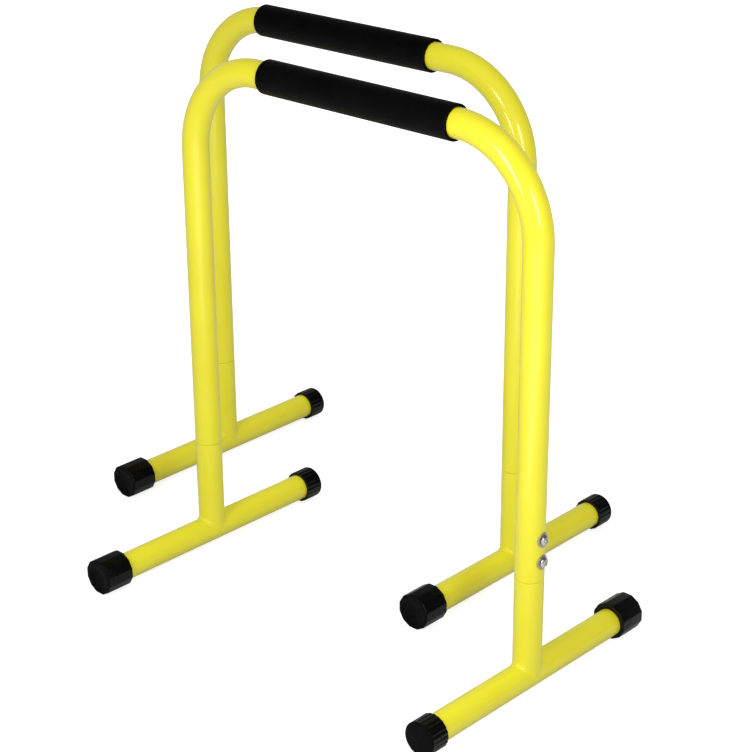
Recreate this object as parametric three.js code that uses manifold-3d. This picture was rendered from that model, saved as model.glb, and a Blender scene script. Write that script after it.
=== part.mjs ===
// Dip station: a pair of free-standing steel bars for dips, push-ups and rows.
// Each bar is one bent tube with a foam grip, bolted to two welded T feet.
// Millimetres, +Z up. The floor is Z = 0 and the origin is under the middle of the pair.

import * as THREE from "three";
import { mergeVertices } from "three/addons/utils/BufferGeometryUtils.js";
import Module from "manifold-3d";

const wasm = await Module();
wasm.setup();

// Steel tube, the same in the bent bar, the posts and the foot tubes
const tubeRadius = 19.05;
const tubeWall = 1.5;
const tubeSides = 24;

// The bent bar
const legSpacing = 600;
const barHeight = 729.3;
const bendRadius = 126;
const bendSteps = 10;
const lastBendStep = THREE.MathUtils.degToRad(3);
const seamHeight = 164.3;

// Space left between pieces that touch
const gap = 0.3;

// Foam grip, pushed a little off centre on each bar, with room in it for the start of the bend
const gripRadius = 23.1;
const gripBore = tubeRadius + 0.5;
const gripLength = 325;
const frontGripShift = 9;
const rearGripShift = -18;

// Foot: a tube on the floor with a post welded to its middle
const footLength = 400;
const footAxisHeight = 23.3;

// Spigot: the smaller tube that joins post and leg
const spigotRadius = 17.25;
const spigotWall = 2;
const spigotBelowSeam = 45;
const spigotAboveSeam = 90;

// Weld bead round the root of the post, thick on top of the foot tube and thin beside it
const weldThick = 3.2;
const weldThin = 1;
const weldLean = 0.35;
const weldSides = 6;

// Levelling cap: twelve flats round an off-centre bore, so that turning it lifts the foot
const levelSides = 12;
const levelFlat = 25.3;
const levelOffset = levelFlat - footAxisHeight;
const levelRim = 174.5;
const levelEnd = 216.5;
const levelBevel = 1.2;

// Shallow dish in the cap's end, off the cap's middle towards its thin side
const dishRadius = 20;
const dishShift = 3;
const dishLip = 1;
const dishDepth = 3;
const dishFloor = 12;

// Plain end cap: a round cup on the other end of the foot tube
const endCapRim = 178;
const endCapEnd = 208;
const endCapRound = 2.6;

// Two bolts on the outer side of each leg, above the seam and a little to the rear
const boltHeights = { lower: 192.3, upper: 223.3 };
const boltLean = THREE.MathUtils.degToRad(4);
const boltRadius = 4;
const boltHoleRadius = 4.5;
const boltTipReach = 5;
const boltSides = 16;
const headRadius = 7.1;
const headEdge = 0.7;
const headDome = 3.2;
const headSteps = 3;
const socketFlat = 5;
const socketDepth = 2.6;

// Saddle washer, bent to lie on the round leg
const washerRadius = 9.8;
const washerThickness = 1.6;
const washerSides = 20;

// Hex nut welded inside the spigot
const nutFlat = 13;
const nutReach = 6.4;

// Where the rear bar stands from the front bar, and how far it is turned
const rearShiftX = -212;
const rearShiftY = 225.7;
const rearTurn = THREE.MathUtils.degToRad(0.66);

const paint = { color: 0xe6df35, roughness: 0.28, metalness: 0.0 };
const foam = { color: 0x0b0b0c, roughness: 0.6, metalness: 0.0 };
const capPlastic = { color: 0x131314, roughness: 0.42, metalness: 0.0 };
const zincPlate = { color: 0xc3c2bd, roughness: 0.28, metalness: 1.0 };
const bareSteel = { color: 0x8b8d8f, roughness: 0.45, metalness: 1.0 };

// Joining and cutting

function solid(geometry) {
  const bare = geometry.clone();
  bare.deleteAttribute("normal");
  bare.deleteAttribute("uv");
  const merged = mergeVertices(bare);
  const vertProperties = new Float32Array(merged.attributes.position.array);
  const triVerts = new Uint32Array(merged.index.array);
  return new wasm.Manifold(new wasm.Mesh({ numProp: 3, vertProperties, triVerts }));
}

function geometryOf(manifold) {
  const mesh = manifold.getMesh();
  const geometry = new THREE.BufferGeometry();
  geometry.setAttribute("position", new THREE.BufferAttribute(mesh.vertProperties, 3));
  geometry.setIndex(new THREE.BufferAttribute(mesh.triVerts, 1));
  geometry.computeVertexNormals();
  return geometry;
}

// Round shapes, turned about the Y axis

function turned(profile, sides = tubeSides, start = 0) {
  const points = profile.map(([radius, along]) => new THREE.Vector2(radius, along));
  return new THREE.LatheGeometry(points, sides, start);
}

function rod(radius, low, high, sides = tubeSides) {
  return turned([[0, low], [radius, low], [radius, high], [0, high]], sides);
}

function pipe(outer, inner, low, high) {
  return turned([[inner, low], [outer, low], [outer, high], [inner, high], [inner, low]]);
}

// The same shapes stood on end along Z, or laid along X
const upright = (geometry) => geometry.rotateX(Math.PI / 2);
const sideways = (geometry) => geometry.rotateZ(-Math.PI / 2);

function hexPrism(acrossFlats, low, high) {
  const corner = acrossFlats / Math.sqrt(3);
  const prism = new THREE.CylinderGeometry(corner, corner, high - low, 6);
  return sideways(prism.translate(0, (low + high) / 2, 0));
}

// The bent bar: a point and direction for each station from the left seam to the right one.
// Station 0 is the seam, station 1 the start of the bend and station 1 + bendSteps its end.
// The last step of the bend is a short one, because the grip can lie over it.
const barSteps = 3 + 2 * bendSteps;

function bendTurn(station) {
  if (station > bendSteps) {
    return Math.PI / 2;
  }
  return Math.max(0, station - 1) / (bendSteps - 1) * (Math.PI / 2 - lastBendStep);
}

function barStation(index) {
  const side = index > barSteps / 2 ? 1 : -1;
  const station = side > 0 ? barSteps - index : index;
  const turn = bendTurn(station);
  const bendStart = barHeight - bendRadius;
  const onLeg = THREE.MathUtils.lerp(seamHeight + gap / 2, bendStart, Math.min(station, 1));
  const x = side * (legSpacing / 2 - bendRadius * (1 - Math.cos(turn)));
  const z = onLeg + bendRadius * Math.sin(turn);
  return {
    point: new THREE.Vector3(x, 0, z),
    tangent: new THREE.Vector3(Math.sin(turn), 0, -side * Math.cos(turn)),
  };
}

class BarLine extends THREE.Curve {
  getPointAt(u) {
    return barStation(u * barSteps).point;
  }

  getTangentAt(u) {
    return barStation(u * barSteps).tangent;
  }
}

function tubeSection() {
  const section = new THREE.Shape();
  section.absarc(0, 0, tubeRadius, 0, 2 * Math.PI);
  const bore = new THREE.Path();
  bore.absarc(0, 0, tubeRadius - tubeWall, 0, 2 * Math.PI);
  section.holes.push(bore);
  return section;
}

// The way the bolts of a leg point, as a turn about the leg
function boltBearing(side) {
  return side < 0 ? Math.PI - boltLean : boltLean;
}

function topFrame() {
  const path = new BarLine();
  const settings = { steps: barSteps, curveSegments: tubeSides / 2, extrudePath: path };
  let frame = solid(new THREE.ExtrudeGeometry(tubeSection(), settings));
  for (const side of [-1, 1]) {
    for (const height of Object.values(boltHeights)) {
      const drill = sideways(rod(boltHoleRadius, 0, 2 * tubeRadius, boltSides));
      drill.rotateZ(boltBearing(side));
      drill.translate(side * legSpacing / 2, 0, height);
      frame = frame.subtract(solid(drill));
    }
  }
  return geometryOf(frame);
}

function grip() {
  return sideways(pipe(gripRadius, gripBore, -gripLength / 2, gripLength / 2));
}

// Foot pieces, about the middle of the foot tube

function footTube() {
  return pipe(tubeRadius, tubeRadius - tubeWall, -footLength / 2, footLength / 2);
}

function post() {
  const top = seamHeight - gap / 2 - footAxisHeight;
  const straight = solid(upright(pipe(tubeRadius, tubeRadius - tubeWall, 0, top)));
  const saddle = solid(rod(tubeRadius + gap, -tubeRadius * 2, tubeRadius * 2));
  return geometryOf(straight.subtract(saddle));
}

function weld() {
  const ring = new THREE.TorusGeometry(tubeRadius, 1, weldSides, tubeSides);
  const place = ring.attributes.position;
  for (let i = 0; i < place.count; i += 1) {
    const angle = Math.atan2(place.getY(i), place.getX(i));
    const outward = Math.hypot(place.getX(i), place.getY(i)) - tubeRadius;
    const upward = place.getZ(i);
    const rise = Math.abs(Math.sin(angle));
    const size = THREE.MathUtils.lerp(weldThin, weldThick, rise);
    const radius = tubeRadius + size * (weldLean + outward);
    const height = tubeRadius * rise + size * (weldLean + upward);
    place.setXYZ(i, radius * Math.cos(angle), radius * Math.sin(angle), height);
  }
  const footSpace = solid(rod(tubeRadius + gap, -tubeRadius * 2, tubeRadius * 2));
  const postSpace = solid(upright(rod(tubeRadius + gap, -tubeRadius, tubeRadius * 3)));
  return geometryOf(solid(ring).subtract(footSpace).subtract(postSpace));
}

function levellingCap() {
  const corner = levelFlat / Math.cos(Math.PI / levelSides);
  const outline = new THREE.Shape();
  for (let i = 0; i < levelSides; i += 1) {
    const angle = (i + 0.5) * 2 * Math.PI / levelSides;
    const x = corner * Math.cos(angle);
    const z = levelOffset + corner * Math.sin(angle);
    if (i === 0) {
      outline.moveTo(x, z);
    } else {
      outline.lineTo(x, z);
    }
  }
  const block = new THREE.ExtrudeGeometry(outline, {
    depth: levelEnd - levelRim - 2 * levelBevel,
    bevelThickness: levelBevel,
    bevelSize: levelBevel,
    bevelOffset: -levelBevel,
    bevelSegments: 1,
  });
  upright(block).translate(0, -levelRim - levelBevel, 0);
  const bore = solid(rod(tubeRadius + gap, -footLength / 2 - gap, -levelRim + 1));
  const dish = turned([
    [0, -levelEnd - 1],
    [dishRadius, -levelEnd - 1],
    [dishRadius, -levelEnd + dishLip],
    [dishFloor, -levelEnd + dishDepth],
    [0, -levelEnd + dishDepth],
  ]);
  dish.translate(0, 0, levelOffset - dishShift);
  return geometryOf(solid(block).subtract(bore).subtract(solid(dish)));
}

function endCap() {
  const flat = Math.cos(Math.PI / tubeSides);
  const outside = footAxisHeight / flat;
  const inside = (tubeRadius + gap) / flat;
  const floor = footLength / 2 + gap;
  const halfRound = endCapRound * (1 - Math.SQRT1_2);
  return turned([
    [0, floor],
    [inside, floor],
    [inside, endCapRim],
    [outside, endCapRim],
    [outside, endCapEnd - endCapRound],
    [outside - halfRound, endCapEnd - halfRound],
    [outside - endCapRound, endCapEnd],
    [0, endCapEnd],
  ], tubeSides, Math.PI / tubeSides);
}

// Joint pieces, about the axis of the leg with +X the way the bolts point

function spigot() {
  const pipeSolid = solid(upright(pipe(
    spigotRadius,
    spigotRadius - spigotWall,
    seamHeight - spigotBelowSeam,
    seamHeight + spigotAboveSeam,
  )));
  let drilled = pipeSolid;
  for (const height of Object.values(boltHeights)) {
    const drill = sideways(rod(boltHoleRadius, 0, 2 * tubeRadius, boltSides));
    drilled = drilled.subtract(solid(drill.translate(0, 0, height)));
  }
  return geometryOf(drilled);
}

function washer() {
  const blank = solid(sideways(rod(washerRadius, 0, 2 * tubeRadius, washerSides)));
  const outer = solid(upright(rod(tubeRadius + gap + washerThickness, -tubeRadius, tubeRadius)));
  const leg = solid(upright(rod(tubeRadius + gap, -2 * tubeRadius, 2 * tubeRadius)));
  const hole = solid(sideways(rod(boltHoleRadius, 0, 2 * tubeRadius, boltSides)));
  return geometryOf(blank.intersect(outer).subtract(leg).subtract(hole));
}

function bolt() {
  const seat = tubeRadius + gap + washerThickness + gap;
  const profile = [[0, boltTipReach], [boltRadius, boltTipReach], [boltRadius, seat], [headRadius, seat]];
  for (let i = 0; i <= headSteps; i += 1) {
    const angle = i / headSteps * Math.PI / 2;
    const radius = i === headSteps ? 0 : headRadius * Math.cos(angle);
    profile.push([radius, seat + headEdge + headDome * Math.sin(angle)]);
  }
  const blank = solid(sideways(turned(profile, boltSides)));
  const top = seat + headEdge + headDome;
  return geometryOf(blank.subtract(solid(hexPrism(socketFlat, top - socketDepth, top + 1))));
}

function nut() {
  const blank = solid(hexPrism(nutFlat, nutReach, spigotRadius));
  const inside = solid(upright(rod(spigotRadius - spigotWall - gap, -2 * tubeRadius, 2 * tubeRadius)));
  const hole = solid(sideways(rod(boltRadius + gap, 0, 2 * tubeRadius, boltSides)));
  return geometryOf(blank.intersect(inside).subtract(hole));
}

// Putting the pair together

function add(group, name, geometry, finish) {
  const mesh = new THREE.Mesh(geometry, new THREE.MeshStandardMaterial(finish));
  mesh.name = name;
  group.add(mesh);
  return mesh;
}

// One T foot; levelSide -1 puts the levelling cap at the front end of the foot tube, 1 at the rear
function foot(name, levelSide) {
  const group = new THREE.Group();
  add(group, name + "_foot_tube", footTube(), paint);
  add(group, name + "_post", post(), paint);
  add(group, name + "_weld", weld(), paint);
  add(group, name + "_levelling_cap", levellingCap(), capPlastic);
  add(group, name + "_end_cap", endCap(), capPlastic);
  group.rotation.z = levelSide < 0 ? 0 : Math.PI;
  group.position.z = footAxisHeight;
  return group;
}

function legJoint(name) {
  const group = new THREE.Group();
  add(group, name + "_spigot", spigot(), bareSteel);
  for (const [level, height] of Object.entries(boltHeights)) {
    add(group, name + "_" + level + "_bolt", bolt(), zincPlate).position.z = height;
    add(group, name + "_" + level + "_washer", washer(), zincPlate).position.z = height;
    add(group, name + "_" + level + "_nut", nut(), bareSteel).position.z = height;
  }
  return group;
}

// One whole bar; levelSides says at which end each foot has its levelling cap
function bar(name, gripShift, levelSides) {
  const group = new THREE.Group();
  add(group, name + "_top_frame", topFrame(), paint);
  const foamGrip = add(group, name + "_grip", grip(), foam);
  foamGrip.position.set(gripShift, 0, barHeight);
  for (const [word, side] of [["left", -1], ["right", 1]]) {
    const footGroup = foot(name + "_" + word, levelSides[word]);
    footGroup.position.x = side * legSpacing / 2;
    const jointGroup = legJoint(name + "_" + word);
    jointGroup.position.x = side * legSpacing / 2;
    jointGroup.rotation.z = boltBearing(side);
    group.add(footGroup, jointGroup);
  }
  return group;
}

const frontBar = bar("front", frontGripShift, { left: -1, right: 1 });
const rearBar = bar("rear", rearGripShift, { left: -1, right: -1 });
rearBar.position.set(rearShiftX, rearShiftY, 0);
rearBar.rotation.z = rearTurn;

const pair = new THREE.Group();
pair.add(frontBar, rearBar);

// The origin goes to the middle of the pair's outline on the floor
const middle = new THREE.Box3().setFromObject(pair, true).getCenter(new THREE.Vector3());
pair.position.set(-middle.x, -middle.y, 0);

const station = new THREE.Group();
station.add(pair);

export default station;
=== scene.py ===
import math

import bmesh
import bpy
from mathutils import Matrix, Vector, noise


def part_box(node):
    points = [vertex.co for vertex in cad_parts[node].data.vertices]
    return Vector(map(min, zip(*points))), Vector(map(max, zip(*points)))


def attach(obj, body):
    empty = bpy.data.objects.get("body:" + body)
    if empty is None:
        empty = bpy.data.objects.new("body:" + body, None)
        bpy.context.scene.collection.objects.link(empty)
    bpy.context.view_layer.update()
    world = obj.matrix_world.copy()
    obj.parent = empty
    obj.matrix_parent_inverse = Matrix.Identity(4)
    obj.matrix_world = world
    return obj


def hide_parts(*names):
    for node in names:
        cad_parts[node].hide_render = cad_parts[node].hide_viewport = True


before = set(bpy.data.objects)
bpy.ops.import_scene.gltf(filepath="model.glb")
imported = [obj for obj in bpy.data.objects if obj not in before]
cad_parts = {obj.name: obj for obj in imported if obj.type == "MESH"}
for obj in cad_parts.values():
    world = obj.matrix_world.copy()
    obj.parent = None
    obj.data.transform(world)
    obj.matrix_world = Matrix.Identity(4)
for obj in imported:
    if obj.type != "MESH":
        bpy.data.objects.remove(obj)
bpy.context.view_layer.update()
mm = 0.001


# The camera stands about 2.7 m from the middle of the pair, to the right of the front bar
# and higher than its grip, with a long lens, as the photograph was taken.
camera_spot = Vector((1739.25, -1796.29, 1356.86)) * mm
camera_azimuth = math.radians(43.443)
camera_elevation = math.radians(23.164)
camera_roll = math.radians(-0.378)
focal_length_in_pixels = 1934.9
picture_width_in_pixels = 752

camera_data = bpy.data.cameras.new("camera")
camera_data.sensor_width = 36
camera_data.lens = focal_length_in_pixels * camera_data.sensor_width / picture_width_in_pixels
camera = bpy.data.objects.new("camera", camera_data)
bpy.context.scene.collection.objects.link(camera)
camera.matrix_world = (
    Matrix.Translation(camera_spot)
    @ Matrix.Rotation(camera_azimuth, 4, "Z")
    @ Matrix.Rotation(math.pi / 2 - camera_elevation, 4, "X")
    @ Matrix.Rotation(camera_roll, 4, "Z")
)
bpy.context.scene.camera = camera


# The two bent bars: each is one length of 38 mm steel tube with a 1.5 mm wall, bent twice
# into an upside-down U and powder coated a glossy bright yellow. The legs are drilled for
# the foot bolts, but the washers cover the holes, so the legs are left whole here.
tube_radius = 19.05 * mm
tube_wall = 1.5 * mm
tube_sides = 96
bend_radius = 126 * mm
bend_steps = 40
bar_height = 729.3 * mm
seam_height = 164.3 * mm
cut_edge = 0.7 * mm
bolt_heights = {"lower": 192.3 * mm, "upper": 223.3 * mm}
yellow = (0.8, 0.733, 0.02, 1)
yellow_shade = (0.775, 0.7, 0.016, 1)
paint_gloss = 0.35
clear_coat = 0.75
clear_coat_roughness = 0.12

# Space between pieces that touch
gap = 0.3 * mm

# A ring of edges this close to a cut end keeps the shading of the long faces even
near_cut = 3 * mm

# Vertices closer together than this are one
weld_distance = 0.01 * mm


def middle(node):
    low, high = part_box(node)
    return (low + high) / 2


# Where each bar stands: on the floor midway between its posts, with its legs along X
leg_out = (middle("front_right_post") - middle("front_left_post")).length / 2
bar_places = {}
for bar in ("front", "rear"):
    left, right = middle(bar + "_left_post"), middle(bar + "_right_post")
    across = right - left
    on_floor = (left + right) / 2
    on_floor.z = 0
    turned = Matrix.Rotation(math.atan2(across.y, across.x), 4, "Z")
    bar_places[bar] = Matrix.Translation(on_floor) @ turned


def rim(shape, radius, place, sides=tube_sides):
    """An open circle of edges."""
    made = bmesh.ops.create_circle(shape, cap_ends=False, radius=radius, segments=sides, matrix=place)
    return list(dict.fromkeys(edge for corner in made["verts"] for edge in corner.link_edges))


def ends_of(edges):
    return list(dict.fromkeys(corner for edge in edges for corner in edge.verts))


def pull(shape, edges, shift):
    """Pulls a rim out into a band of faces and gives back the new rim."""
    made = bmesh.ops.extrude_edge_only(shape, edges=edges)["geom"]
    corners = [part for part in made if isinstance(part, bmesh.types.BMVert)]
    bmesh.ops.translate(shape, vec=shift, verts=corners)
    new = set(corners)
    return [part for part in made if isinstance(part, bmesh.types.BMEdge) and set(part.verts) <= new]


def spin(shape, edges, centre, axis, angle, steps, merge=False):
    """Turns edges about an axis into a surface and gives back the last edges."""
    made = bmesh.ops.spin(
        shape, geom=ends_of(edges) + edges, cent=centre, axis=axis, angle=angle,
        steps=steps, use_merge=merge, use_duplicate=False,
    )["geom_last"]
    return [part for part in made if isinstance(part, bmesh.types.BMEdge)]


def face_outwards(shape):
    bmesh.ops.recalc_face_normals(shape, faces=shape.faces)


def hollow(shape, wall):
    """Gives an open tube its wall, inwards."""
    face_outwards(shape)
    bmesh.ops.solidify(shape, geom=shape.faces, thickness=wall)
    face_outwards(shape)


def ease(shape, edges, width):
    """Rounds over edges."""
    bmesh.ops.bevel(
        shape, geom=edges, offset=width, offset_type="OFFSET", affect="EDGES",
        segments=3, profile=0.5, material=-1, clamp_overlap=True,
    )


def edges_where(shape, test):
    return [edge for edge in shape.edges if all(test(corner.co) for corner in edge.verts)]


def cut_rims(shape, test):
    """The inner and outer rim of a tube's cut end, without the edges that cross its wall."""
    edges = edges_where(shape, test)
    return [edge for edge in edges if any(abs(face.normal.z) < 0.5 for face in edge.link_faces)]


def add_piece(name, shape, place, finishes, body, node, sharp=35):
    """A finished piece in its place, for its CAD node. Turns of over sharp degrees stay hard."""
    mesh = bpy.data.meshes.new(name)
    shape.to_mesh(mesh)
    mesh.transform(place)
    mesh.shade_smooth()
    mesh.set_sharp_from_angle(angle=math.radians(sharp))
    for finish in finishes:
        mesh.materials.append(finish.material)
    piece = bpy.data.objects.new(name, mesh)
    bpy.context.scene.collection.objects.link(piece)
    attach(piece, body)
    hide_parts(node)
    return piece


class Finish:
    """A material whose patterns follow the object. They are noise, in lumps to the metre."""

    def __init__(self, name, colour, roughness, metallic=0.0):
        self.material = bpy.data.materials.new(name)
        self.material.use_nodes = True
        self.nodes = self.material.node_tree.nodes
        self.links = self.material.node_tree.links
        self.shader = self.nodes["Principled BSDF"]
        self.where = self.nodes.new("ShaderNodeTexCoord")
        self.set("Base Color", colour)
        self.set("Roughness", roughness)
        self.set("Metallic", metallic)

    def set(self, name, value):
        self.shader.inputs[name].default_value = value

    def pattern(self, lumps, detail):
        """Noise from 0 to 1, most of it near the middle."""
        lumpy = self.nodes.new("ShaderNodeTexNoise")
        lumpy.inputs["Scale"].default_value = lumps
        lumpy.inputs["Detail"].default_value = detail
        self.links.new(self.where.outputs["Object"], lumpy.inputs["Vector"])
        return lumpy.outputs["Fac"]

    def vary_colour(self, first, second, lumps, detail=3.0):
        """Blends two colours over the middle of the noise."""
        ramp = self.nodes.new("ShaderNodeValToRGB")
        ramp.color_ramp.elements[0].position = 0.35
        ramp.color_ramp.elements[0].color = first
        ramp.color_ramp.elements[1].position = 0.65
        ramp.color_ramp.elements[1].color = second
        self.links.new(self.pattern(lumps, detail), ramp.inputs["Fac"])
        self.links.new(ramp.outputs["Color"], self.shader.inputs["Base Color"])

    def vary_roughness(self, low, high, lumps, detail=3.0):
        """Spreads the roughness over nearly all of the noise."""
        spread = self.nodes.new("ShaderNodeMapRange")
        spread.inputs["From Min"].default_value = 0.3
        spread.inputs["From Max"].default_value = 0.7
        spread.inputs["To Min"].default_value = low
        spread.inputs["To Max"].default_value = high
        self.links.new(self.pattern(lumps, detail), spread.inputs["Value"])
        self.links.new(spread.outputs["Result"], self.shader.inputs["Roughness"])

    def add_grain(self, strength, depth, lumps, detail=3.0):
        bump = self.nodes.new("ShaderNodeBump")
        bump.inputs["Strength"].default_value = strength
        bump.inputs["Distance"].default_value = depth
        self.links.new(self.pattern(lumps, detail), bump.inputs["Height"])
        self.links.new(bump.outputs["Normal"], self.shader.inputs["Normal"])


# Powder coat: even colour, a faint orange peel and a clear gloss
powder_coat = Finish("yellow_powder_coat", yellow, roughness=0.45)
powder_coat.vary_colour(yellow, yellow_shade, lumps=9)
powder_coat.vary_roughness(0.4, 0.5, lumps=60)
powder_coat.add_grain(strength=0.08, depth=0.25 * mm, lumps=420, detail=1.0)
powder_coat.set("Specular IOR Level", paint_gloss)
powder_coat.set("Coat Weight", clear_coat)
powder_coat.set("Coat Roughness", clear_coat_roughness)

# Each leg has four rings of edges, from its cut end to the start of its bend
leg_end = seam_height + gap / 2
above_bolts = 2 * bolt_heights["upper"] - bolt_heights["lower"]
bend_start = bar_height - bend_radius
leg_rings = [leg_end, leg_end + near_cut, above_bolts, bend_start]
leg_runs = [high - low for low, high in zip(leg_rings, leg_rings[1:])]
bend_out = leg_out - bend_radius
bend_axis = Vector((0, 1, 0))

bent_tube = bmesh.new()
running = rim(bent_tube, tube_radius, Matrix.Translation((-leg_out, 0, leg_end)))
for run in leg_runs:
    running = pull(bent_tube, running, Vector((0, 0, run)))
running = spin(bent_tube, running, Vector((-bend_out, 0, bend_start)), bend_axis, math.pi / 2, bend_steps)
running = pull(bent_tube, running, Vector((2 * bend_out, 0, 0)))
running = spin(bent_tube, running, Vector((bend_out, 0, bend_start)), bend_axis, math.pi / 2, bend_steps)
for run in reversed(leg_runs):
    running = pull(bent_tube, running, Vector((0, 0, -run)))
hollow(bent_tube, tube_wall)
ease(bent_tube, cut_rims(bent_tube, lambda at: at.z < leg_end + near_cut / 2), cut_edge)

for bar, place in bar_places.items():
    node = bar + "_top_frame"
    add_piece(node + "_painted", bent_tube, place, [powder_coat], bar + "_bar", node)


# The foam grips: each is a sleeve of black closed-cell foam about 4 mm thick on the straight
# top of its bar, held there by its own stretch. It is cut square at both ends, and on each
# bar it sits a little off centre.
grip_radius = 23.1 * mm
grip_bore = tube_radius + gap
grip_edge = 1.1 * mm
foam_black = (0.001, 0.001, 0.0013, 1)
foam_worn = (0.002, 0.002, 0.0023, 1)
foam_gloss = 0.055
foam_sheen = 0.008
foam_sheen_roughness = 0.3

foam = Finish("black_foam", foam_black, roughness=0.6)
foam.vary_colour(foam_black, foam_worn, lumps=35, detail=6.0)
foam.vary_roughness(0.46, 0.56, lumps=130)
foam.add_grain(strength=0.3, depth=0.3 * mm, lumps=1100, detail=4.0)
foam.set("Specular IOR Level", foam_gloss)
foam.set("Sheen Weight", foam_sheen)
foam.set("Sheen Roughness", foam_sheen_roughness)


def turn_on_lathe(points, axis, sides, closed):
    """Turns a line of points right round an axis through the origin."""
    shape = bmesh.new()
    corners = [shape.verts.new(point) for point in points]
    section = [shape.edges.new(pair) for pair in zip(corners, corners[1:])]
    if closed:
        section.append(shape.edges.new((corners[-1], corners[0])))
    spin(shape, section, Vector(), axis, 2 * math.pi, sides, merge=True)
    bmesh.ops.remove_doubles(shape, verts=shape.verts, dist=weld_distance)
    return shape


for bar, place in bar_places.items():
    node = bar + "_grip"
    low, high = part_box(node)
    half = (high - low).x / 2
    centre = place.inverted() @ middle(node)
    inner = half - near_cut
    outline = [(grip_bore, -half), (grip_radius, -half), (grip_radius, -inner)]
    outline += [(grip_radius, inner), (grip_radius, half), (grip_bore, half)]
    points = [(along, 0, out) for out, along in outline]
    sleeve = turn_on_lathe(points, Vector((1, 0, 0)), tube_sides, closed=True)
    face_outwards(sleeve)
    mid_wall = (grip_radius + grip_bore) / 2
    at_end = half - weld_distance
    end_rims = edges_where(sleeve, lambda at: abs(at.x) > at_end and at.yz.length > mid_wall)
    ease(sleeve, end_rims, grip_edge)
    at_top = place @ Matrix.Translation((centre.x, 0, bar_height))
    grip = add_piece(node + "_foam", sleeve, at_top, [foam], bar + "_bar", node)


# The feet lie on the floor: each foot is a straight tube with a post welded to its middle.
# One end carries a levelling cap and the other a round end cap.
# The levelling cap is at the front end of every foot but the front right one.
foot_axis = 23.3 * mm
foot_length = 400 * mm
feet = {}
for bar, bar_place in bar_places.items():
    for side, out in (("left", -leg_out), ("right", leg_out)):
        name = bar + "_" + side
        about = math.pi if name == "front_right" else 0.0
        turned = Matrix.Rotation(about, 4, "Z")
        feet[name] = bar_place @ Matrix.Translation((out, 0, foot_axis)) @ turned


def bar_of(foot):
    """The body that a foot is bolted to."""
    return foot.split("_")[0] + "_bar"


foot_tube = bmesh.new()
end_place = Matrix.Translation((0, -foot_length / 2, 0)) @ Matrix.Rotation(math.pi / 2, 4, "X")
running = rim(foot_tube, tube_radius, end_place)
pull(foot_tube, running, Vector((0, foot_length, 0)))
hollow(foot_tube, tube_wall)

for name, place in feet.items():
    node = name + "_foot_tube"
    add_piece(node + "_painted", foot_tube, place, [powder_coat], bar_of(name), node)


# The posts: short lengths of the same tube, coped at the bottom to sit on the foot tube,
# and cut square at the top where the leg of the bent bar meets them.
cope_radius = tube_radius + gap
above_cope = 1.4 * tube_radius
post_top = seam_height - gap / 2 - foot_axis

post = bmesh.new()
running = rim(post, tube_radius, Matrix())
running = pull(post, running, Vector((0, 0, above_cope)))
running = pull(post, running, Vector((0, 0, post_top - near_cut - above_cope)))
pull(post, running, Vector((0, 0, near_cut)))
hollow(post, tube_wall)
for corner in post.verts:
    if corner.co.z < above_cope / 2:
        corner.co.z = math.sqrt(cope_radius ** 2 - corner.co.x ** 2)
ease(post, cut_rims(post, lambda at: at.z > post_top - near_cut / 2), cut_edge)

for name, place in feet.items():
    node = name + "_post"
    add_piece(node + "_painted", post, place, [powder_coat], bar_of(name), node)


# The weld beads: one bead laid right round the root of each post, thick in front of and
# behind it, thin where the two tubes lie flush at the sides, and coated with the tube.
bead_thick = 5.2 * mm
bead_thin = 1.5 * mm
bead_crown = 0.25 * mm
bead_sag = 0.16
bead_root = 0.12
bead_face_steps = 8
bead_turns = 240
bead_lumps = 3
bead_lump_size = 0.14
bead_scales = 38
bead_scale_size = 0.05
crown_scale_size = 0.2

# Out and up from the inner corner, in bead thicknesses: the hollow face, then the root
bead_outline = []
for step in range(bead_face_steps + 1):
    t = step / bead_face_steps
    sag = 2 * t * (1 - t) * bead_sag
    bead_outline.append((t ** 2 + sag, (1 - t) ** 2 + sag))
bead_outline.append((bead_outline[-1][0], -bead_root))
bead_outline.append((-bead_root, -bead_root))
bead_outline.append((-bead_root, bead_outline[0][1]))

# The outline is first turned at this scale about a ring of radius 1, then laid on the joint
ring_share = 0.25


def lay_bead(seed):
    """One bead in the foot's frame. The seed sets its lumps."""
    points = [(1 + out * ring_share, 0, up * ring_share) for out, up in bead_outline]
    bead = turn_on_lathe(points, Vector((0, 0, 1)), bead_turns, closed=True)
    for corner in bead.verts:
        angle = math.atan2(corner.co.y, corner.co.x)
        out = (corner.co.xy.length - 1) / ring_share
        up = corner.co.z / ring_share
        along, around = math.cos(angle), math.sin(angle)
        rise = abs(around)
        lumps = noise.noise(Vector((bead_lumps * along, bead_lumps * around, seed)))
        scales = abs(math.sin(bead_scales * angle / 2))
        size = bead_thin + (bead_thick - bead_thin) * rise
        size *= 1 + bead_lump_size * lumps + bead_scale_size * scales
        lean = math.atan2(along, rise) + size * out * along / tube_radius
        on_joint = Vector((
            tube_radius * math.sin(lean),
            around * (tube_radius + size * out),
            tube_radius * math.cos(lean) + size * up,
        ))
        fullness = max(0.0, 4 * (out + bead_root) * (up + bead_root)) * (1 - 0.5 * rise)
        crown = bead_crown * fullness * (1 + crown_scale_size * scales)
        corner.co = on_joint + Vector((along, around, rise)).normalized() * crown
    face_outwards(bead)
    return bead


for seed, (name, place) in enumerate(feet.items()):
    node = name + "_weld"
    bead = lay_bead(seed)
    add_piece(node + "_bead", bead, place, [powder_coat], bar_of(name), node, sharp=50)


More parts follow.
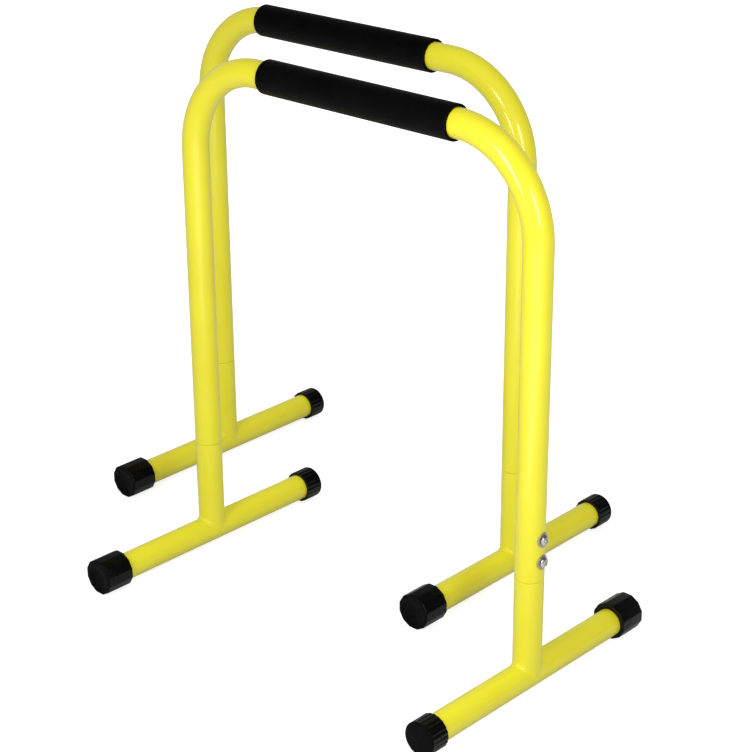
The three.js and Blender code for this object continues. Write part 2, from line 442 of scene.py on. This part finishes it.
# The levelling caps: long moulded cups with twelve flats and a bore 2 mm off their middle, so
# that turning one to another flat lifts that end of the foot. They are glossy on the flats
# and dull on the end face, which has a shallow round dish. They are pushed over the tube.
level_flats = 12
level_flat = 25.3 * mm
level_offset = 2 * mm
level_rim = 174.5 * mm
level_length = 42 * mm
level_socket = 25.8 * mm
level_corner = 0.9 * mm
level_corner_steps = 4
level_flat_cuts = 4
level_end_edge = 1.6 * mm
level_end_steps = 4
level_dull_slope = 0.6
dish_radius = 20 * mm
dish_shift = 3 * mm
dish_depth = 4.5 * mm
dish_rings = 10
cap_bore = tube_radius + gap
cap_mouth_edge = 0.4 * mm
cap_black = (0.0015, 0.0015, 0.002, 1)
cap_grey = (0.0035, 0.0035, 0.0035, 1)
cap_side_gloss = 0.21
cap_end_gloss = 0.05

# The rounded lip of the dish, in steps inwards and down
dish_lip = [(0, 0), (0.3 * mm, 0.08 * mm), (0.52 * mm, 0.3 * mm), (0.65 * mm, 0.7 * mm)]

cap_side = Finish("black_cap_plastic", cap_black, roughness=0.3)
cap_side.vary_roughness(0.22, 0.34, lumps=90)
cap_side.add_grain(strength=0.05, depth=0.2 * mm, lumps=700)
cap_side.set("Specular IOR Level", cap_side_gloss)
cap_end = Finish("black_cap_end", cap_grey, roughness=0.5)
cap_end.vary_colour(cap_black, cap_grey, lumps=160, detail=5.0)
cap_end.vary_roughness(0.42, 0.55, lumps=120)
cap_end.add_grain(strength=0.25, depth=0.2 * mm, lumps=1300)
cap_end.set("Specular IOR Level", cap_end_gloss)


def fill(shape, edges):
    """Closes a rim with one flat face."""
    bmesh.ops.contextual_create(shape, geom=edges)


def pull_round(shape, edges, radius, centre, height):
    """Pulls a rim of any outline to a round one about a centre, at a height."""
    pulled = pull(shape, edges, Vector())
    for corner in ends_of(pulled):
        away = (corner.co.xy - centre).normalized() * radius
        corner.co = Vector((centre.x + away.x, centre.y + away.y, height))
    return pulled


def pull_in(shape, edges, margin, centre, height):
    """Pulls a rim inwards by a margin, keeping its outline, and sets its height."""
    pulled = pull(shape, edges, Vector())
    for corner in ends_of(pulled):
        away = (corner.co.xy - centre) * (1 - margin / level_flat)
        corner.co = Vector((centre.x + away.x, centre.y + away.y, height))
    return pulled


# The twelve flats with their corners rounded, as the rim of the cap's open end
level_cap = bmesh.new()
half_flat = math.pi / level_flats
level_place = Matrix.Rotation(half_flat, 4, "Z")
rim(level_cap, level_flat / math.cos(half_flat), level_place, sides=level_flats)
bmesh.ops.bevel(
    level_cap, geom=level_cap.verts, offset=level_corner, offset_type="OFFSET", affect="VERTICES",
    segments=level_corner_steps, profile=0.5, material=-1, clamp_overlap=True,
)
flats = [edge for edge in level_cap.edges if edge.calc_length() > 2 * level_corner]
bmesh.ops.subdivide_edges(level_cap, edges=flats, cuts=level_flat_cuts)
bmesh.ops.translate(level_cap, vec=Vector((0, level_offset, 0)), verts=level_cap.verts)
open_rim = list(level_cap.edges)

# Up the flats, over the rounded end edge, over the lip and down into the dish
level_middle = Vector((0, level_offset))
running = pull_in(level_cap, open_rim, 0, level_middle, level_length - level_end_edge)
quarter_step = math.pi / 2 / level_end_steps
for step in range(1, level_end_steps + 1):
    turn = step * quarter_step
    shrink = level_end_edge * (math.cos(turn - quarter_step) - math.cos(turn))
    height = level_length - level_end_edge * (1 - math.sin(turn))
    running = pull_in(level_cap, running, shrink, level_middle, height)
dish_middle = level_middle - Vector((0, dish_shift))
for inwards, down in dish_lip:
    running = pull_round(level_cap, running, dish_radius - inwards, dish_middle, level_length - down)
lip_width, lip_drop = dish_lip[-1]
for ring in range(1, dish_rings):
    share = 1 - ring / dish_rings
    sunk = lip_drop + (dish_depth - lip_drop) * (1 - share ** 2)
    ring_radius = (dish_radius - lip_width) * share
    running = pull_round(level_cap, running, ring_radius, dish_middle, level_length - sunk)
fill(level_cap, running)

# In over the eased mouth and up the bore to the bottom of the socket
tube_middle = Vector((0, 0))
running = pull_in(level_cap, open_rim, cap_mouth_edge, level_middle, 0)
bmesh.ops.translate(level_cap, vec=Vector((0, 0, cap_mouth_edge)), verts=ends_of(open_rim))
running = pull_round(level_cap, running, cap_bore, tube_middle, 0)
running = pull_round(level_cap, running, cap_bore, tube_middle, level_socket)
fill(level_cap, running)
face_outwards(level_cap)
for face in level_cap.faces:
    face.material_index = 1 if face.normal.z > level_dull_slope else 0

for name, place in feet.items():
    node = name + "_levelling_cap"
    body = name + "_leveller"
    on_foot = place @ Matrix.Translation((0, -level_rim, 0)) @ Matrix.Rotation(math.pi / 2, 4, "X")
    finishes = [cap_side, cap_end]
    add_piece(node + "_moulded", level_cap, on_foot, finishes, body, node, sharp=14)


# The end caps: short round moulded cups with fine ribs along their sides, scalloped where
# the ribs run out at the open rim, and a plain dull end with a rounded edge. They are pushed
# over the tube.
round_radius = 23.3 * mm
round_rim = 178 * mm
round_length = 30 * mm
round_socket = 22.3 * mm
round_edge = 3.2 * mm
round_edge_steps = 6
rim_edge = 0.3 * mm
rib_count = 20
rib_depth = 0.85 * mm
rib_steps = 14
rib_rings = [10 * mm, 20 * mm, 23 * mm, 25 * mm]
rib_end = round_length - 3 * mm
rib_fade = 3 * mm
outer_wall = cap_bore + 1.5 * mm

outline = [(cap_bore, round_socket), (cap_bore, cap_mouth_edge), (cap_bore + cap_mouth_edge, 0)]
outline += [(round_radius - rim_edge, 0), (round_radius, rim_edge)]
outline += [(round_radius, ring) for ring in rib_rings]
for step in range(round_edge_steps + 1):
    angle = step / round_edge_steps * math.pi / 2
    out = round_radius - round_edge * (1 - math.cos(angle))
    outline.append((out, round_length - round_edge * (1 - math.sin(angle))))
points = [(out, 0, up) for out, up in outline]
round_cap = turn_on_lathe(points, Vector((0, 0, 1)), rib_count * rib_steps, closed=False)
fill(round_cap, edges_where(round_cap, lambda at: at.z > round_length - weld_distance))
in_bore = cap_bore + weld_distance
fill(round_cap, edges_where(round_cap, lambda at: at.z > round_socket / 2 and at.xy.length < in_bore))
for corner in round_cap.verts:
    out = corner.co.xy.length
    if out > outer_wall:
        angle = math.atan2(corner.co.y, corner.co.x)
        groove = 1 - abs(math.cos(rib_count / 2 * angle))
        fade = min(1.0, max(0.0, (rib_end - corner.co.z) / rib_fade))
        corner.co.xy = corner.co.xy * ((out - rib_depth * groove * fade) / out)
face_outwards(round_cap)
for face in round_cap.faces:
    face.material_index = 1 if face.calc_center_median().z > round_length - round_edge else 0

for name, place in feet.items():
    node = name + "_end_cap"
    body = bar_of(name)
    on_foot = place @ Matrix.Translation((0, round_rim, 0)) @ Matrix.Rotation(-math.pi / 2, 4, "X")
    finishes = [cap_side, cap_end]
    add_piece(node + "_moulded", round_cap, on_foot, finishes, body, node, sharp=40)


# The bolts: zinc-plated M8 screws with a low domed head and a hex socket, two through the
# outer side of each leg, 4 degrees to the rear of the bar's plane, into nuts in the spigot.
# The saddle washers under them are pressed to the round of the tube.
bolt_lean = math.radians(4)
head_radius = 7.1 * mm
head_edge = 0.2 * mm
head_rim = 0.7 * mm
head_dome = 3.0 * mm
dome_steps = 14
dome_spacing = 0.8
shank_radius = 4 * mm
shank_tip = 5 * mm
shank_chamfer = 0.5 * mm
socket_corner = 2.9 * mm
socket_mouth = 3.2 * mm
socket_lead = 0.3 * mm
socket_depth = 2.6 * mm
washer_radius = 9.7 * mm
washer_hole = 4.6 * mm
washer_thickness = 1.6 * mm
washer_edge = 0.35 * mm
washer_rings = 6
turned_sides = 64
zinc = (0.8, 0.79, 0.765, 1)
zinc_dark = (0.68, 0.675, 0.655, 1)
washer_zinc = (0.55, 0.54, 0.52, 1)
washer_zinc_dark = (0.45, 0.44, 0.42, 1)

zinc_plate = Finish("zinc_plate", zinc, roughness=0.3, metallic=1.0)
zinc_plate.vary_colour(zinc, zinc_dark, lumps=300, detail=4.0)
zinc_plate.vary_roughness(0.24, 0.34, lumps=500)
zinc_plate.add_grain(strength=0.08, depth=0.1 * mm, lumps=1500)
zinc_dull = Finish("zinc_plate_dull", washer_zinc, roughness=0.4, metallic=1.0)
zinc_dull.vary_colour(washer_zinc, washer_zinc_dark, lumps=250, detail=4.0)
zinc_dull.vary_roughness(0.32, 0.48, lumps=400)
zinc_dull.add_grain(strength=0.12, depth=0.1 * mm, lumps=1200)

# The screw, up from the tube's axis: up the shank, out under the head and over the dome
seat = tube_radius + gap + washer_thickness + gap
outline = [(shank_radius - shank_chamfer, shank_tip), (shank_radius, shank_tip + shank_chamfer)]
outline += [(shank_radius, seat), (head_radius - head_edge, seat)]
outline += [(head_radius, seat + head_edge), (head_radius, seat + head_rim)]
for step in range(1, dome_steps + 1):
    out = head_radius - (head_radius - socket_mouth) * (step / dome_steps) ** dome_spacing
    outline.append((out, seat + head_rim + head_dome * math.sqrt(1 - (out / head_radius) ** 2)))
head_top = outline[-1][1]
points = [(out, 0, up) for out, up in outline]
screw = turn_on_lathe(points, Vector((0, 0, 1)), turned_sides, closed=False)
fill(screw, edges_where(screw, lambda at: at.z < shank_tip + weld_distance))
mouth = edges_where(screw, lambda at: at.z > head_top - weld_distance)
hexagon = rim(screw, socket_corner, Matrix.Translation((0, 0, head_top - socket_lead)), sides=6)
bmesh.ops.bridge_loops(screw, edges=mouth + hexagon)
fill(screw, pull(screw, hexagon, Vector((0, 0, -socket_depth))))
face_outwards(screw)

# The washer is turned flat and then wrapped on the tube
reach = washer_radius - washer_hole
outline = [(washer_hole + reach * step / washer_rings, 0) for step in range(washer_rings + 1)]
outline += [(out, washer_thickness) for out, up in reversed(outline)]
points = [(out, 0, up) for out, up in outline]
saddle = turn_on_lathe(points, Vector((0, 0, 1)), turned_sides, closed=True)
face_outwards(saddle)
rim_of_washer = edges_where(saddle, lambda at: at.xy.length > washer_radius - weld_distance)
ease(saddle, rim_of_washer, washer_edge)
for corner in saddle.verts:
    out = tube_radius + gap + corner.co.z
    wrap = corner.co.y / (tube_radius + gap)
    corner.co = Vector((corner.co.x, out * math.sin(wrap), out * math.cos(wrap)))

for bar, bar_place in bar_places.items():
    for side, out, about in (("left", -leg_out, math.pi - bolt_lean), ("right", leg_out, bolt_lean)):
        for level, height in bolt_heights.items():
            stem = bar + "_" + side + "_" + level
            body = bar + "_bar"
            on_leg = bar_place @ Matrix.Translation((out, 0, height)) @ Matrix.Rotation(about, 4, "Z")
            on_leg = on_leg @ Matrix.Rotation(math.pi / 2, 4, "Y")
            node = stem + "_bolt"
            add_piece(node + "_screw", screw, on_leg, [zinc_plate], body, node)
            node = stem + "_washer"
            add_piece(node + "_saddle", saddle, on_leg, [zinc_dull], body, node)


# The spigots and nuts are plain steel and hidden inside the joint of post and leg.
# The spigot is a smaller tube, drilled for the bolts; the nuts are fixed inside it.
steel = (0.26, 0.27, 0.28, 1)
steel_dark = (0.16, 0.165, 0.17, 1)
plain_steel = Finish("plain_steel", steel, roughness=0.45, metallic=1.0)
plain_steel.vary_colour(steel_dark, steel, lumps=40, detail=6.0)
plain_steel.vary_roughness(0.35, 0.55, lumps=90)
for node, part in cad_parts.items():
    if node.endswith("_spigot") or node.endswith("_nut"):
        part.data.materials.clear()
        part.data.materials.append(plain_steel.material)


# The studio: a white floor and surround, an upright soft box on each side of the camera's
# view, soft light from overhead and from behind, and a white card lying low in front of the
# camera that throws light up.
floor_reach = 14.0
floor_drop = 0.02 * mm
floor_sides = 96
floor_colour = (0.5, 0.5, 0.5, 1)
near_lift, far_lift = 0.78, 1.0
near_edge, far_edge = 0.4, 1.8
lift_in_reflections = 0.12
surround_light = 0.66
ceiling_light = 0.3
backdrop_top, ceiling_start = math.radians(12), math.radians(35)
side_in_reflections, backdrop_in_reflections = 0.06, 0.5
full_backdrop = 0.9


def seen_directly(nodes, links, in_reflections):
    """1 for rays from the camera or through glass, and a share of that for reflected rays."""
    ray = nodes.new("ShaderNodeLightPath")
    seen = ray.outputs["Is Camera Ray"]
    for kind, share in (("Is Transmission Ray", 1.0), ("Is Glossy Ray", in_reflections)):
        either = nodes.new("ShaderNodeMath")
        either.operation = "MULTIPLY_ADD"
        either.inputs[1].default_value = share
        links.new(ray.outputs[kind], either.inputs[0])
        links.new(seen, either.inputs[2])
        seen = either.outputs[0]
    return seen


def ease_between(nodes, links, value, start, end, at_start, at_end):
    """A level that changes smoothly as the value goes from start to end."""
    change = nodes.new("ShaderNodeMapRange")
    change.interpolation_type = "SMOOTHSTEP"
    change.inputs["From Min"].default_value = start
    change.inputs["From Max"].default_value = end
    change.inputs["To Min"].default_value = at_start
    change.inputs["To Max"].default_value = at_end
    links.new(value, change.inputs["Value"])
    return change.outputs["Result"]


def multiply(nodes, links, first, second):
    product = nodes.new("ShaderNodeMath")
    product.operation = "MULTIPLY"
    links.new(first, product.inputs[0])
    links.new(second, product.inputs[1])
    return product.outputs[0]


# The floor whitens with distance, and close to the feet it keeps their shadow
floor_finish = Finish("studio_floor", floor_colour, roughness=0.9)
floor_finish.set("Specular IOR Level", 0.0)
nodes, links = floor_finish.nodes, floor_finish.links
distance = nodes.new("ShaderNodeVectorMath")
distance.operation = "LENGTH"
links.new(floor_finish.where.outputs["Object"], distance.inputs[0])
lift = ease_between(nodes, links, distance.outputs["Value"], near_edge, far_edge, near_lift, far_lift)
glow = nodes.new("ShaderNodeEmission")
glow_strength = multiply(nodes, links, lift, seen_directly(nodes, links, lift_in_reflections))
links.new(glow_strength, glow.inputs["Strength"])
both = nodes.new("ShaderNodeAddShader")
links.new(floor_finish.shader.outputs["BSDF"], both.inputs[0])
links.new(glow.outputs["Emission"], both.inputs[1])
links.new(both.outputs["Shader"], nodes["Material Output"].inputs["Surface"])

floor_shape = bmesh.new()
floor_place = Matrix.Translation((0, 0, -floor_drop))
bmesh.ops.create_circle(
    floor_shape, cap_ends=True, radius=floor_reach, segments=floor_sides, matrix=floor_place,
)
floor_mesh = bpy.data.meshes.new("studio_floor")
floor_shape.to_mesh(floor_mesh)
floor_mesh.materials.append(floor_finish.material)
floor = bpy.data.objects.new("studio_floor", floor_mesh)
bpy.context.scene.collection.objects.link(floor)

# The surround is white behind the bars and greyer overhead, and gives less light than it
# shows. Reflections see it darker still, most of all at the camera's side.
world = bpy.data.worlds.new("studio")
bpy.context.scene.world = world
world.use_nodes = True
nodes, links = world.node_tree.nodes, world.node_tree.links
background = nodes["Background"]
background.inputs["Color"].default_value = (1, 1, 1, 1)
direction = nodes.new("ShaderNodeTexCoord").outputs["Generated"]
height = nodes.new("ShaderNodeSeparateXYZ")
links.new(direction, height.inputs[0])
low, high = math.sin(backdrop_top), math.sin(ceiling_start)
backdrop = ease_between(nodes, links, height.outputs["Z"], low, high, 1.0, ceiling_light)
behind = nodes.new("ShaderNodeVectorMath")
behind.operation = "DOT_PRODUCT"
behind.inputs[1].default_value = (-math.sin(camera_azimuth), math.cos(camera_azimuth), 0)
links.new(direction, behind.inputs[0])
reflected_share = ease_between(
    nodes, links, behind.outputs["Value"], 0.0, full_backdrop,
    side_in_reflections, backdrop_in_reflections,
)
reflected = multiply(nodes, links, backdrop, reflected_share)
ray = nodes.new("ShaderNodeLightPath")
light = nodes.new("ShaderNodeMix")
light.inputs["A"].default_value = surround_light
links.new(ray.outputs["Is Glossy Ray"], light.inputs["Factor"])
links.new(reflected, light.inputs["B"])
strength = nodes.new("ShaderNodeMix")
links.new(seen_directly(nodes, links, in_reflections=0.0), strength.inputs["Factor"])
links.new(light.outputs["Result"], strength.inputs["A"])
links.new(backdrop, strength.inputs["B"])
links.new(strength.outputs["Result"], background.inputs["Strength"])


def soft_box(name, aim, azimuth, distance, height, size, power, mirrored=True):
    """A rectangular lamp facing a point, from an azimuth counted as the camera's is."""
    data = bpy.data.lights.new(name, "AREA")
    data.shape = "RECTANGLE"
    data.size, data.size_y = size
    data.energy = power
    lamp = bpy.data.objects.new(name, data)
    lamp.visible_glossy = mirrored
    bpy.context.scene.collection.objects.link(lamp)
    turn = math.radians(azimuth)
    away = Vector((math.sin(turn) * distance, -math.cos(turn) * distance, height - aim.z))
    facing = away.to_track_quat("Z", "Y").to_matrix().to_4x4()
    lamp.matrix_world = Matrix.Translation(aim + away) @ facing


# The rear box is kept out of reflections, where it would draw a bright band on the feet
near_bend = Vector((0.4, -0.11, 0.6))
bars_foot = Vector((0.05, 0, 0))
mid_bars = Vector((0, 0, 0.4))
over_card = Vector((1.2, -1.25, 2))
soft_box("soft_box_left", near_bend, azimuth=-7, distance=1.3, height=1.02, size=(0.3, 0.75), power=9.5)
soft_box("soft_box_right", near_bend, azimuth=60, distance=1.3, height=0.98, size=(0.4, 0.7), power=9.5)
soft_box(
    "soft_box_overhead", bars_foot, azimuth=30, distance=0.6, height=2.4, size=(1.6, 1.6), power=1.5,
)
soft_box(
    "soft_box_rear", mid_bars, azimuth=215, distance=1.6, height=1.4, size=(1.4, 0.8), power=5,
    mirrored=False,
)
soft_box("white_card", over_card, azimuth=0, distance=0, height=0.03, size=(1.6, 1.2), power=9)

bpy.context.scene.view_settings.view_transform = "Standard"
